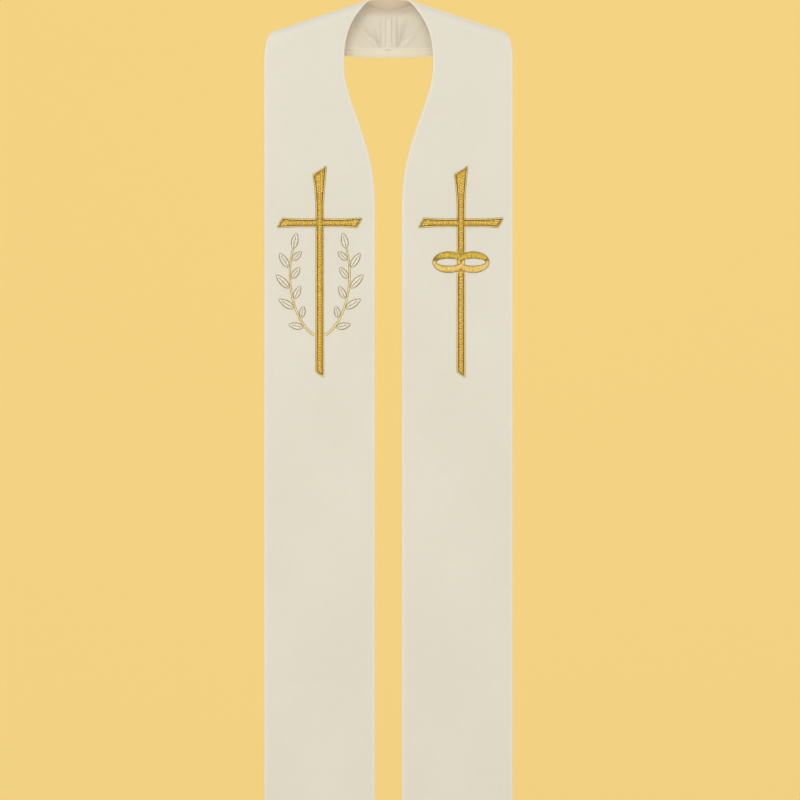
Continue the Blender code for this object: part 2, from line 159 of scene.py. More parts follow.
def hang(flat):
    """Where places on the flat pattern come to hang: across, down from the crest, and side."""
    offset = flat - CREST_START
    along, over = offset @ ALONG_FOLD, offset @ OVER_FOLD
    bent = FOLD_RADIUS * (1 - np.cos(np.clip(over / FOLD_RADIUS, -np.pi / 2, np.pi / 2)))
    drop = np.where(abs(over) < QUARTER_TURN, bent, FOLD_RADIUS + abs(over) - QUARTER_TURN)
    x = CREST_NECK_X + along * math.cos(SHOULDER_SLOPE) - drop * math.sin(SHOULDER_SLOPE)
    return x, drop, np.where(over > 1e-9, 1, -1)


def centre_back(drop):
    """The place on the flat pattern that hangs at the centre back, this far down."""
    over = drop - FOLD_RADIUS + QUARTER_TURN
    if drop < FOLD_RADIUS:
        over = FOLD_RADIUS * math.acos(1 - drop / FOLD_RADIUS)
    run = -SEAM_LAP - CREST_NECK_X + drop * math.sin(SHOULDER_SLOPE)
    return CREST_START + ALONG_FOLD * run / math.cos(SHOULDER_SLOPE) + OVER_FOLD * over


def sway(x, z):
    """How far the fronts stand out of their plane."""
    growth = smooth_step((SWAY_STARTS_Z - z) / SWAY_GROWS)
    half = np.sign(x)
    across = (abs(x) - FRONT_GAP / 2) / FRONT_WIDTH - 0.5
    wave = WAVE_DEPTH * np.sin(2 * np.pi * z / WAVE_LENGTH + 0.7 * half)
    twist = TWIST_DEPTH * across * np.sin(2 * np.pi * z / TWIST_LENGTH + 1.9 * half)
    return growth * (wave + twist)


def ridge(x, z, start, end, rise, half_width):
    """A soft ridge between two points, or a trough where rise is below zero."""
    start, end = np.array(start), np.array(end)
    run = end - start
    share = ((x - start[0]) * run[0] + (z - start[1]) * run[1]) / (run @ run)
    near = np.clip(share, 0, 1)
    away = np.hypot(x - start[0] - near * run[0], z - start[1] - near * run[1])
    return rise * np.exp(-((away / half_width) ** 2)) * (1 - 0.6 * (2 * near - 1) ** 2)


def creases(x, z, side):
    """How far creases lift the cloth: folds kept from storage, and the pull of the neck curve."""
    half, x = np.sign(x), abs(x)
    front = 0.00022 * np.sin(x / 0.021 + 1.3 * half) * np.sin(z / 0.047)
    front += 0.00016 * np.sin(x / 0.011 - z / 0.033 + half)
    for height, slope, rise, fades in STORAGE_FOLDS:
        away = z - height - slope * (x - STORAGE_FOLDS_X) * half
        front += rise * np.exp(-abs(away) / fades)
    for crease in FRONT_CREASES:
        front += ridge(x, z, *crease)
    back = 0.0002 * np.sin(x / 0.009 + z / 0.031)
    for crease in BACK_CREASES:
        back += ridge(x, z, *crease)
    return np.where(side < 0, front, back) * smooth_step(-(z + 0.012) / 0.03)


def on_cloth(x, drop, side, out):
    """Points at a distance outside the shell's outer face, once it hangs."""
    turn = np.arccos(np.clip(1 - drop / FOLD_RADIUS, 0, 1))
    lean = np.arctan(math.tan(SHOULDER_SLOPE) * x / np.hypot(x, CREST_ROUNDING))
    z = height_of_cloth(x, drop)
    y = side * FOLD_RADIUS * np.sin(turn) + np.where(side < 0, sway(x, z), 0.0)
    out = out + creases(x, z, side)
    normal = (np.sin(lean) * np.cos(turn), side * np.sin(turn), np.cos(lean) * np.cos(turn))
    return np.stack([x + normal[0] * out, y + normal[1] * out, z + normal[2] * out], axis=-1)


def pattern_rows(straight_z, curved_count, back_shares):
    """Sections across a half, from the hem to the centre back: both ends hung, and both flat."""
    inner_x, outer_x = FRONT_GAP / 2, FRONT_GAP / 2 + FRONT_WIDTH
    up = np.array([0.0, 1.0])
    crossing = np.array([-math.cos(NECK_CROSSING), math.sin(NECK_CROSSING)])
    square = np.array([-math.cos(2 * SHOULDER_SLOPE), math.sin(2 * SHOULDER_SLOPE)])
    start = np.array([inner_x, NECK_CURVE_Z])
    near, far = NECK_LOWER_HANDLES
    lower = bezier([start, start + up * near, NECK_WIDEST - up * far, NECK_WIDEST])
    near, far = NECK_UPPER_HANDLES
    handle = CREST_START - crossing * far
    upper = bezier([NECK_WIDEST, NECK_WIDEST + up * near, handle, CREST_START])
    top = centre_back(BACK_TOP_DROP)
    near, far = NECK_BACK_HANDLES
    neck_back = bezier([CREST_START, CREST_START + crossing * near, top - square * far, top])
    corner_x = outer_x - SHOULDER_TAPER
    corner = CREST_START + ALONG_FOLD * (corner_x - CREST_START[0]) / ALONG_FOLD[0]
    taper_start = np.array([outer_x, corner[1] - TAPER_REACH])
    taper_bend = taper_start + up * TAPER_REACH * TAPER_BEND
    shoulder = bezier([taper_start, taper_bend, corner])
    leaning = (corner - taper_bend) / np.linalg.norm(corner - taper_bend)
    low_drop = math.tan(SHOULDER_SLOPE) * CREST_NECK_X - BACK_LOW_Z
    low = centre_back(low_drop * math.cos(SHOULDER_SLOPE))
    near, far = OUTER_BACK_HANDLES
    outer_back = bezier([corner, corner + leaning * near, low - square * far, low])
    curved = 1 - (1 - np.linspace(0, 1, curved_count)) ** 1.35
    lines = []
    for edge_x, curve, back in (
        (inner_x, np.concatenate([lower, upper[1:]]), neck_back),
        (outer_x, np.concatenate([[[outer_x, NECK_CURVE_Z]], shoulder]), outer_back),
    ):
        straight = np.stack([np.full_like(straight_z, edge_x), straight_z], axis=1)
        lines.append(np.concatenate([straight, walk(curve, curved), walk(back, back_shares)]))
    return lines


def sections(neck, outer, profile, tone_at, half):
    """The rows' points round a wall, their places on the flat cloth and their tones, as grids."""
    neck_x, neck_drop, _ = hang(neck)
    end_x, end_drop, side = hang(outer)
    rise = height_of_cloth(neck_x, neck_drop) - height_of_cloth(end_x, end_drop)
    width = np.hypot(end_x - neck_x, rise)
    centred = np.where(side > 0, smooth_step(1 - neck_x / NECK_BACK_REACH), 0.0)
    neck_margin = MARGIN + (NECK_BACK_MARGIN - MARGIN) * centred
    places, flats, tones = [], [], []
    for row in range(len(neck)):
        distance, out = profile(row, width[row], neck_margin[row])
        share = distance / width[row]
        x = neck_x[row] + (end_x[row] - neck_x[row]) * share
        drop = np.maximum(neck_drop[row] + (end_drop[row] - neck_drop[row]) * share, 0.0)
        z = height_of_cloth(x, drop)
        places.append(on_cloth(half * x, drop, side[row], out(half * x, z, side[row])))
        flats.append(neck[row] + (outer[row] - neck[row]) * share[:, None])
        tones.append(tone_at(half * x, z, side[row], np.minimum(distance, width[row] - distance)))
    return np.array(places), np.array(flats), np.array(tones)


def grid_faces(rows, columns, closed):
    """Quads of a grid of points, which closes round on itself across its columns if asked."""
    row, column = np.meshgrid(np.arange(rows - 1), np.arange(columns - (not closed)))
    row, column = row.ravel(), column.ravel()
    after = (column + 1) % columns
    low, high = row * columns, (row + 1) * columns
    return np.stack([low + column, low + after, high + after, high + column], axis=1)


def add_piece(name, points, faces, materials, grain, material_of_face=None, ends=(), tone=None):
    """A smooth mesh whose map called grain holds each point's place on the flat cloth.

    The tone is what the cloth's colour is multiplied by at each point: mostly painted light and
    shade.
    """
    points = np.asarray(points, dtype=float).reshape(-1, 3)
    grain = np.asarray(grain, dtype=float).reshape(-1, 2)
    mesh = bpy.data.meshes.new(name)
    mesh.from_pydata(points.tolist(), [], faces.tolist() + [list(end) for end in ends])
    mesh.shade_smooth()
    layer = mesh.uv_layers.new(name="grain")
    corners = np.zeros(len(mesh.loops), dtype=np.int32)
    mesh.loops.foreach_get("vertex_index", corners)
    layer.data.foreach_set("uv", grain[corners].astype(np.float32).ravel())
    if tone is not None:
        tone = np.concatenate([tone.reshape(-1, 3), np.ones((len(points), 1))], axis=1)
        layer = mesh.attributes.new("tone", "FLOAT_COLOR", "POINT")
        layer.data.foreach_set("color", tone.astype(np.float32).ravel())
    for material in materials:
        mesh.materials.append(material)
    if material_of_face is not None:
        mesh.polygons.foreach_set("material_index", material_of_face.astype(np.int32))
    piece = bpy.data.objects.new(name, mesh)
    bpy.context.collection.objects.link(piece)
    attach(piece, "root")
    return piece


def add_node(look, kind, inputs=(), **settings):
    """One shader node; inputs pairs a socket's name or number with a value or another socket."""
    node = look.node_tree.nodes.new("ShaderNode" + kind)
    for name, value in settings.items():
        setattr(node, name, value)
    for socket, value in inputs:
        if isinstance(value, bpy.types.NodeSocket):
            look.node_tree.links.new(value, node.inputs[socket])
        else:
            node.inputs[socket].default_value = value
    return node


def new_look(name, roughness, **sockets):
    """A material, its shader, and the flat-cloth coordinates that its nodes start from."""
    look = bpy.data.materials.new(name)
    look.use_nodes = True
    shader = look.node_tree.nodes["Principled BSDF"]
    shader.inputs["Roughness"].default_value = roughness
    for socket, value in sockets.items():
        shader.inputs[socket.replace("_", " ")].default_value = value
    grain = add_node(look, "UVMap", uv_map="grain").outputs["UV"]
    return look, shader, grain


def maths(look, operation, first, second=0.0):
    return add_node(look, "Math", [(0, first), (1, second)], operation=operation).outputs[0]


def stretched_noise(look, grain, across, along, detail=2.0):
    """Noise drawn out along one way of the cloth, with this many cells a metre each way."""
    scaled = add_node(look, "Mapping", [("Vector", grain), ("Scale", (across, along, 1.0))])
    noise = [("Vector", scaled.outputs[0]), ("Scale", 1.0), ("Detail", detail)]
    return add_node(look, "TexNoise", noise).outputs[0]


def plain_weave(look, grain, threads_per_metre):
    """Height of a plain weave, where warp and weft take turns to lie on top."""
    split = add_node(look, "SeparateXYZ", [(0, grain)])
    step = math.pi * threads_per_metre
    warp = maths(look, "SINE", maths(look, "MULTIPLY", split.outputs[0], step))
    weft = maths(look, "SINE", maths(look, "MULTIPLY", split.outputs[1], step))
    return maths(look, "MULTIPLY", warp, weft)


def shade_between(look, factor, dark, light, low=0.3, high=0.7):
    ramp = add_node(look, "ValToRGB", [(0, factor)])
    for element, place, colour in zip(ramp.color_ramp.elements, (low, high), (dark, light)):
        element.position = place
        element.color = (*colour, 1.0)
    return ramp.outputs[0]


def toned(look, colour):
    tone = add_node(look, "VertexColor", layer_name="tone").outputs[0]
    return add_node(look, "VectorMath", [(0, colour), (1, tone)], operation="MULTIPLY").outputs[0]


def finish_look(look, shader, colour, height, depth, roughness=None):
    tree = look.node_tree
    tree.links.new(colour, shader.inputs["Base Color"])
    bump = add_node(look, "Bump", [("Height", height), ("Distance", depth), ("Strength", 1.0)])
    tree.links.new(bump.outputs[0], shader.inputs["Normal"])
    if roughness is not None:
        tree.links.new(roughness, shader.inputs["Roughness"])
    return look


def ivory_cloth():
    look, shader, grain = new_look(
        "ivory_cloth", 0.82, Sheen_Weight=0.25, Sheen_Roughness=0.45,
        Sheen_Tint=(0.98, 0.94, 0.86, 1.0), Specular_IOR_Level=0.25,
    )
    weave = plain_weave(look, grain, 2200)
    warp_slubs = stretched_noise(look, grain, 1700, 45)
    weft_slubs = stretched_noise(look, grain, 45, 1700)
    slubs = maths(look, "ADD", warp_slubs, weft_slubs)
    height = maths(look, "ADD", maths(look, "MULTIPLY", weave, 0.5), slubs)
    cloud = stretched_noise(look, grain, 9, 6, 3.0)
    thread_tone = maths(look, "MULTIPLY", slubs, 0.3)
    tone = maths(look, "ADD", thread_tone, maths(look, "MULTIPLY", cloud, 0.4))
    colour = toned(look, shade_between(look, tone, (0.712, 0.695, 0.614), (0.772, 0.757, 0.681)))
    rough = add_node(look, "MapRange", [(0, slubs), (1, 0.6), (2, 1.4), (3, 0.74), (4, 0.90)])
    return finish_look(look, shader, colour, height, 0.00009, rough.outputs[0])


FACE_COLUMNS = 38
EDGE_COLUMNS = 7
INSIDE_COLUMNS = 12
MARGIN_STEP = 0.0004

hem_angles = np.linspace(0, math.pi / 2, 5)
hem_z = HEM_Z + TURNED_THICKNESS / 2 * (1 - np.cos(hem_angles))
hem_closing = np.sin(hem_angles)
hem_z = np.concatenate([hem_z, np.linspace(HEM_Z + 0.004, HEM_Z + HEM_MARGIN - 0.0003, 5)])
hem_rows = len(hem_z)


def shell_profile(row, width, neck_margin):
    """Round the wall: the outer face, the turned edge, its margin, the inside, and back."""
    thick = TURNED_THICKNESS / 2
    face = np.linspace(thick, width - thick, FACE_COLUMNS)
    edge = np.minimum(face, width - face) - thick
    dip = -SOFT_EDGE_DIP * np.clip(1 - edge / SOFT_EDGE, 0, 1) ** 2
    around = np.linspace(90, -90, EDGE_COLUMNS + 2)[1:-1] * math.pi / 180
    deep = TURNED_THICKNESS if row < hem_rows else CLOTH_THICKNESS
    inside = np.linspace(width - MARGIN - MARGIN_STEP, neck_margin + MARGIN_STEP, INSIDE_COLUMNS)
    outer_turning = np.array([width - thick, width - MARGIN / 2, width - MARGIN])
    neck_turning = np.array([neck_margin, neck_margin / 2, thick])
    distance = np.concatenate([
        face, width - thick + thick * np.cos(around), outer_turning,
        inside, neck_turning, thick - thick * np.cos(around[::-1]),
    ])
    edge_out = thick * (np.sin(around) - 1) - SOFT_EDGE_DIP * (1 + np.sin(around)) / 2
    turning_out = np.full(len(outer_turning), -TURNED_THICKNESS)
    inside_out = np.full(INSIDE_COLUMNS, -deep)
    out = np.concatenate([dip, edge_out, turning_out, inside_out, turning_out, edge_out[::-1]])
    closes = hem_closing[row] if row < len(hem_closing) else 1.0
    out = -thick + (out + thick) * closes

    def out_here(x, z, side):
        """The same with the centre-back seam's groove, and its allowances' tips in the margin."""
        if side < 0:
            return out
        seam = -0.0006 * np.exp(-((x / 0.0011) ** 2))
        low = distance - width + MARGIN - 0.002
        tips = 0.0005 * np.exp(-(((abs(x) - 0.0080) / 0.0022) ** 2) - (low / 0.0022) ** 2)
        return np.where(out > -TURNED_THICKNESS / 2, out + seam, out - tips)

    return distance, out_here


# What the cloth's colour is multiplied by, or what is taken from it, where it isn't plain.
# A painted highlight along the pressed edges, and how wide it spreads.
EDGE_PAINTED_HIGHLIGHT = 0.085
EDGE_HIGHLIGHT_WIDTH = 0.0016
# Painted shade inside the nape, where the back curves under the fold; it is warm-toned.
NAPE_PAINTED_SHADE = np.array([0.19, 0.28, 0.31])
LINING_SIDE_BROWN = np.array([-0.10, -0.058, 0.005])
# On the low margin inside the back: painted shade at its fold, painted light where it meets the
# lining.
MARGIN_AT_FOLD = np.array([-0.10, -0.12, -0.20])
MARGIN_AT_LINING = np.array([0.07, 0.07, 0.07])


def nape_painted_shade(x, z, starts_z, grows):
    """How much painted shade darkens the inside of the nape, from 0 to 1."""
    return smooth_step((z - starts_z) / grows) * smooth_step((0.046 - abs(x)) / 0.028)


def low_on_back(z):
    """From 0 to 1 towards the back's lower edge."""
    return smooth_step((-0.045 - z) / 0.006)


def shell_tone(x, z, side, from_edge):
    """A painted highlight along the pressed edges, painted shade inside the nape, and painted
    light from above on the low margin, with painted shade at its fold.
    """
    pale = 1 + EDGE_PAINTED_HIGHLIGHT * np.exp(-((np.maximum(from_edge, 0) / EDGE_HIGHLIGHT_WIDTH) ** 2))
    if side < 0:
        return pale[:, None] * np.ones(3)
    nape_shade = nape_painted_shade(x, z, -0.0215, 0.010)[:, None]
    inside = (np.arange(len(x)) >= FACE_COLUMNS + EDGE_COLUMNS)[:, None]
    up = smooth_step((from_edge - 0.0015) / 0.0075)[:, None]
    low = inside * low_on_back(z)[:, None]
    margin = 1 + low * (MARGIN_AT_FOLD + (MARGIN_AT_LINING - MARGIN_AT_FOLD) * up)
    inner = 1 - inside * (nape_shade * NAPE_PAINTED_SHADE + LINING_SIDE_BROWN)
    return pale[:, None] * inner * margin


straight_z = np.concatenate([hem_z, np.linspace(HEM_Z + HEM_MARGIN, NECK_CURVE_Z, 262)[:-1]])
back_shares = np.concatenate([np.linspace(0, 0.95, 58)[1:], [0.965, 0.978, 0.988, 0.995, 1.0]])
shell_neck, shell_outer = pattern_rows(straight_z, 96, back_shares)
cloth = ivory_cloth()
for side_name, half in (("left", -1), ("right", 1)):
    places, flats, tones = sections(shell_neck, shell_outer, shell_profile, shell_tone, half)
    rows, columns = places.shape[:2]
    last_ring = np.arange((rows - 1) * columns, rows * columns)[::half]
    faces = grid_faces(rows, columns, True)[:, ::half]
    piece = add_piece(
        "shell_cloth_" + side_name, places, faces, [cloth], flats, ends=[last_ring], tone=tones
    )
    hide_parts("shell_" + side_name)


# The linings: one smooth ivory satin to each half, cut short of the edge all round and slipped
# under the pressed margins. Each pair meets in a centre-back seam, pressed open, whose allowances
# show through as a raised band with a pulled crease on either side.
LINING_OUTER = 0.0015
LINING_INNER = 0.0026
LINING_GAP = -0.0002
LINING_COLUMNS = 34
LINING_EDGE = 0.0005
LEAST_HELD = 0.35
MOST_SUNK = 0.0008

# Folds that the seam pulls into the linings at the back of the neck, as the wearer sees them:
# where each starts and ends, how far it stands out, half its width, and its painted light, shade
# if below zero.
BACK_FOLDS = (
    ((-0.0112, -0.0610), (-0.0185, -0.0366), -0.0016, 0.0022, -0.15),
    ((-0.0145, -0.0590), (-0.0215, -0.0450), 0.0022, 0.0020, 0.05),
    ((-0.0165, -0.0570), (-0.0380, -0.0350), 0.0024, 0.0028, 0.06),
    ((-0.0150, -0.0510), (-0.0300, -0.0340), -0.0014, 0.0030, -0.08),
    ((0.0108, -0.0610), (0.0175, -0.0400), -0.0018, 0.0024, -0.20),
    ((0.0150, -0.0590), (0.0200, -0.0440), 0.0026, 0.0020, 0.08),
    ((0.0185, -0.0580), (0.0360, -0.0390), 0.0026, 0.0028, 0.08),
    ((0.0140, -0.0460), (0.0230, -0.0270), -0.0015, 0.0036, -0.12),
    ((-0.0043, -0.0560), (-0.0043, -0.0260), -0.0004, 0.0008, -0.10),
    ((0.0041, -0.0560), (0.0041, -0.0260), -0.0004, 0.0008, -0.07),
    ((-0.0108, -0.0620), (-0.0108, -0.0300), -0.0003, 0.0010, -0.12),
    ((0.0106, -0.0620), (0.0106, -0.0260), -0.0003, 0.0010, -0.14),
)


def lining_relief(x, z, side):
    """How far the lining stands off towards the wearer."""
    if side < 0:
        return 0.0005 * np.sin(abs(x) / 0.017 + z / 0.11) + 0.0004 * np.sin(x / 0.009 - z / 0.19)
    below_top = smooth_step((-0.014 - z) / 0.012)
    seam = 0.0017 * smooth_step((0.0044 - abs(x)) / 0.0018) * below_top
    band = 0.0012 * smooth_step((0.0110 - abs(x)) / 0.0016) * below_top
    folds = sum(ridge(x, z, start, end, rise, wide) for start, end, rise, wide, _ in BACK_FOLDS)
    return seam + band + folds


def lining_tone(x, z, side, from_edge):
    """Painted highlights and shade along the folds and seam ridge, painted light at the left end
    and beside the low margin, painted shade in the nape.
    """
    if side < 0:
        return np.ones((len(x), 3))
    below_top = smooth_step((-0.020 - z) / 0.012)
    pale = 1 + 0.06 * smooth_step((0.0040 - abs(x)) / 0.0012) * below_top
    pale += sum(ridge(x, z, start, end, tone, wide) for start, end, _, wide, tone in BACK_FOLDS)
    # Painted light lifting the shade at the left end.
    pale += 0.10 * smooth_step((-0.037 - x) / 0.010) * below_top
    # Painted light on the lining strip beside the low margin.
    pale += 0.15 * smooth_step((0.0129 - from_edge) / 0.0016) * low_on_back(z)
    nape_shade = nape_painted_shade(x, z, -0.0230, 0.012)[:, None]
    return pale[:, None] * (1 - nape_shade * NAPE_PAINTED_SHADE)


def lining_profile(row, width, neck_margin):
    """Round the lining: the face against the shell, its edge, the face towards the wearer."""
    start, end = neck_margin + LINING_GAP, width - MARGIN - LINING_GAP
    face = np.linspace(start + LINING_EDGE, end - LINING_EDGE, LINING_COLUMNS)
    distance = np.concatenate([face, [end, end], face[::-1], [start, start]])
    held = smooth_step(np.minimum(distance - start, end - distance) / 0.006)
    middle = -(LINING_INNER + LINING_OUTER) / 2
    rim = np.array([middle + 0.0003, middle - 0.0003])
    outer, inner = np.full(LINING_COLUMNS, -LINING_OUTER), np.full(LINING_COLUMNS, -LINING_INNER)
    flush = np.repeat((0, LINING_INNER - TURNED_THICKNESS - 0.00008), LINING_COLUMNS + 2)

    def out_here(x, z, side):
        """The same with its relief, and its edges pressed flush with the margins."""
        relief = lining_relief(x, z, side)
        relief = relief * held if side < 0 else relief * np.maximum(held, LEAST_HELD)
        out = np.concatenate([outer, rim, inner, rim[::-1]]) + (1 - held) * flush
        return out - np.maximum(relief, -MOST_SUNK)

    return distance, out_here


def ivory_lining():
    look, shader, grain = new_look(
        "ivory_lining", 0.50, Sheen_Weight=0.15, Sheen_Roughness=0.3,
        Specular_IOR_Level=0.45, Anisotropic=0.3,
    )
    twill = add_node(look, "SeparateXYZ", [(0, grain)])
    diagonal = maths(look, "ADD", twill.outputs[0], maths(look, "MULTIPLY", twill.outputs[1], 1.6))
    ribs = maths(look, "SINE", maths(look, "MULTIPLY", diagonal, 9500))
    slubs = stretched_noise(look, grain, 2600, 60)
    height = maths(look, "ADD", maths(look, "MULTIPLY", ribs, 0.3), slubs)
    cloud = maths(look, "MULTIPLY", stretched_noise(look, grain, 14, 9), 0.5)
    tone = maths(look, "ADD", maths(look, "MULTIPLY", slubs, 0.5), cloud)
    colour = toned(look, shade_between(look, tone, (0.690, 0.640, 0.530), (0.745, 0.700, 0.596)))
    rough = add_node(look, "MapRange", [(0, slubs), (1, 0.3), (2, 0.7), (3, 0.42), (4, 0.58)])
    return finish_look(look, shader, colour, height, 0.00005, rough.outputs[0])


lining_z = np.linspace(HEM_Z + HEM_MARGIN + LINING_GAP, NECK_CURVE_Z, 200)[:-1]
lining_neck, lining_outer = pattern_rows(lining_z, 84, back_shares)
satin = ivory_lining()
for side_name, half in (("left", -1), ("right", 1)):
    places, flats, tones = sections(lining_neck, lining_outer, lining_profile, lining_tone, half)
    rows, columns = places.shape[:2]
    rings = np.arange(rows * columns).reshape(rows, columns)[[0, -1]]
    faces = grid_faces(rows, columns, True)[:, ::half]
    piece = add_piece(
        "lining_cloth_" + side_name, places, faces, [satin], flats, ends=rings, tone=tones
    )
    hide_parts("lining_" + side_name)


# The crosses: machine embroidery in gold thread, raised over a padding of the same gold. A satin
# rim runs round each cross, a dark line lies inside it, partly a dark thread and partly painted
# shade in the gap between rim and fill, and dark stitches along the outline are painted shadow at
# its raised edge. The middle is filled with short stitches under a chain of bead stitches. Both
# ends of every bar are cut on a slant.
CROSS_X = {"left": -0.0877, "right": 0.0924}
CROSS_TOP_Z = -0.2149
CROSS_HEIGHT = 0.2694
ARM_DROP = 0.0722
ARM_REACH = 0.0512
BAR = 0.0102
TOP_WIDTH = 0.0182
FOOT_WIDTH = 0.0108
ARM_END = 0.0132
TOP_SLANT = 0.0105
FOOT_SLANT = 0.0068
ARM_SLANT = 0.0068
TOP_FLARE = 0.050
ARM_FLARE = 0.024
RING_Z = -0.3373
SHAFT_STOP = 0.0122
SHAFT_POINT = 0.0028

# Threads and stitches; a pitch is the step from one stitch or row to the next.
THREAD = 0.00046
RIM_STITCH = 0.0016
RIM_PITCH = 0.00044
FILL_INSET = 0.0024
FILL_STITCH = 0.0024
FILL_PITCH = 0.00055
BEAD_THICK = 0.0016
BEAD_PITCH = 0.0034
BEAD_ROWS = 0.0026
BEAD_LEAN = 0.00035
PADDING_RIM = 0.0003
PADDING_MIDDLE = 0.0006
SUNK = -0.0002


def on_front(x, z, out):
    """Points at a distance outside the shell's front at these places of the hung cloth."""
    crest = math.tan(SHOULDER_SLOPE) * (CREST_NECK_X - np.abs(x))
    return on_cloth(x, (crest - z) * math.cos(SHOULDER_SLOPE), -1, out)


def sew(stitches, thick, lift, looks_of_stitch=0, arch=0.0):
    """Points, faces, grain and look numbers of threads, each an (x, z, x, z) of its two ends."""
    stitches = np.asarray(stitches, dtype=float)
    count = len(stitches)
    start, end = stitches[:, None, None, :2], stitches[:, None, None, 2:]
    run = end - start
    length = np.linalg.norm(run, axis=-1, keepdims=True)
    across = np.stack([-run[..., 1], run[..., 0]], axis=-1) / length
    share = np.array([0.0, 0.1, 0.35, 0.65, 0.9, 1.0])[:, None]
    swell = np.array([0.35, 0.85, 1.0, 1.0, 0.85, 0.35])[:, None]
    sunk = np.array([-0.00025, 0.0, 0.00008, 0.00008, 0.0, -0.00025])[:, None]
    side = np.array([-0.5, -0.36, 0.0, 0.36, 0.5])
    rise = np.array([0.0, 0.42, 0.62, 0.42, 0.0])
    flat = start + run * share[..., None] + across * (side * swell * thick)[..., None]
    out = lift + arch * np.sin(np.pi * share) + sunk + rise * swell * thick
    points = on_front(flat[..., 0], flat[..., 1], out)
    faces = grid_faces(6, 5, False) + (np.arange(count) * 30)[:, None, None]
    grain = np.stack(np.broadcast_arrays(share * length[..., 0], side * thick), axis=-1)
    look = np.repeat(np.broadcast_to(looks_of_stitch, count), len(faces[0]))
    return points.reshape(-1, 3), faces.reshape(-1, 4), grain.reshape(-1, 2), look


def join_sewing(parts):
    """Several sewn parts as one: points, faces, grain and look numbers."""
    starts = np.cumsum([0] + [len(part[0]) for part in parts])
    numbered = [(part[0], part[1] + start, *part[2:]) for part, start in zip(parts, starts)]
    return [np.concatenate(lists) for lists in zip(*numbered)]


def padding(patches, lift=0.0):
    """Low padded grids of (x, z, height) under the stitches, sunk into the cloth at their rims."""
    parts = []
    for patch in patches:
        patch = np.asarray(patch)
        rows, columns = patch.shape[:2]
        points = on_front(patch[..., 0], patch[..., 1], patch[..., 2] + lift).reshape(-1, 3)
        faces = grid_faces(rows, columns, False)
        parts.append((points, faces, patch[..., :2].reshape(-1, 2), np.zeros(len(faces))))
    return parts


def stitch_line(path, length):
    """Stitches of about this length end to end along a path."""
    steps = np.linalg.norm(np.diff(path, axis=0), axis=1)
    count = max(1, round(steps.sum() / length))
    places = walk(path, np.linspace(0, 1, count + 1))
    return np.concatenate([places[:-1], places[1:]], axis=1)


def satin_rim(outline, inward, length):
    """Stitches from an outline to a second line inside it, close together."""
    steps = np.linalg.norm(np.diff(outline, axis=0), axis=1)
    count = int(steps.sum() / RIM_PITCH)
    position = np.concatenate([[0], np.cumsum(steps)])
    wanted = np.linspace(0, position[-1], count)
    edge = np.stack([np.interp(wanted, position, outline[:, k]) for k in (0, 1)], axis=1)
    way = np.stack([np.interp(wanted, position, inward[:, k]) for k in (0, 1)], axis=1)
    return np.concatenate([edge, edge + way * length], axis=1)


def inward_ways(outline):
    """At each corner of a clockwise outline, the way to a line one unit inside it."""
    before = outline - np.roll(outline, 1, axis=0)
    after = np.roll(outline, -1, axis=0) - outline
    before /= np.linalg.norm(before, axis=1, keepdims=True) + 1e-12
    after /= np.linalg.norm(after, axis=1, keepdims=True) + 1e-12
    normals = [np.stack([way[:, 1], -way[:, 0]], axis=1) for way in (before, after)]
    way = normals[0] + normals[1]
    return way / np.maximum((way * normals[0]).sum(axis=1, keepdims=True), 0.6)


def flare(narrow, wide, begins):
    """Half the width of a bar that flares out after this share of its length."""
    def half_width(share):
        grown = np.clip((share - begins) / (1 - begins), 0, 1) ** 1.6
        return (narrow + (wide - narrow) * grown) / 2

    return half_width


def bar_place(bar, share, side):
    """A place along and across a bar; side runs from -1 to 1."""
    start, end, half_width_at, slant, points = bar
    start, end = np.array(start), np.array(end)
    ahead = (end - start) / np.linalg.norm(end - start)
    across = np.array([-ahead[1], ahead[0]])
    share, side = np.broadcast_arrays(np.asarray(share, float), np.asarray(side, float))
    near_end = share * 8 - 7 if points >= 0 else 1 - share * 8
    point = points * np.clip(near_end, 0, 1)
    forward = slant * share**3 / 2 * side + point * (1 - abs(side))
    return (
        start + (end - start) * share[..., None]
        + across * (half_width_at(share) * side)[..., None] + ahead * forward[..., None]
    )


def bar_padding(bar, rows):
    share, side = np.meshgrid(np.linspace(0, 1, rows), np.linspace(-1, 1, 7), indexing="ij")
    places = bar_place(bar, share, side)
    height = PADDING_RIM + (PADDING_MIDDLE - PADDING_RIM) * np.sqrt(1 - side**2)
    height = np.where(abs(side) > 0.99, SUNK, height)
    return np.concatenate([places, height[..., None]], axis=-1)


def bar_fill(bar, lead_in=0.0):
    """Rows of short stitches along a bar, each row half a stitch on from the last."""
    start, end, half_width_at, slant, points = bar
    long = math.dist(start, end)
    stitch = FILL_STITCH / long
    wide = half_width_at(1.0) - FILL_INSET
    shares = np.linspace(0, 1, 200)
    half = half_width_at(shares)
    stitches = []
    for number, offset in enumerate(np.arange(-wide, wide + 1e-9, FILL_PITCH)):
        inside = shares[half - FILL_INSET >= abs(offset) - 1e-6]
        cut = (slant / 2 * offset / half_width_at(1.0) - FILL_INSET) / long if slant else 0.0
        first = inside[0] - (lead_in / long if inside[0] == 0 else 0)
        place, stop = first - (number % 2) * stitch / 2, 1 + cut
        while place < stop - 0.2 * stitch:
            low, high = max(place, first), min(place + stitch, stop)
            if high - low > 0.25 * stitch:
                sides = [offset / half_width_at(min(max(s, 0), 1)) for s in (low, high)]
                stitches.append(bar_place(bar, [low, high], sides).ravel())
            place += stitch
    return stitches


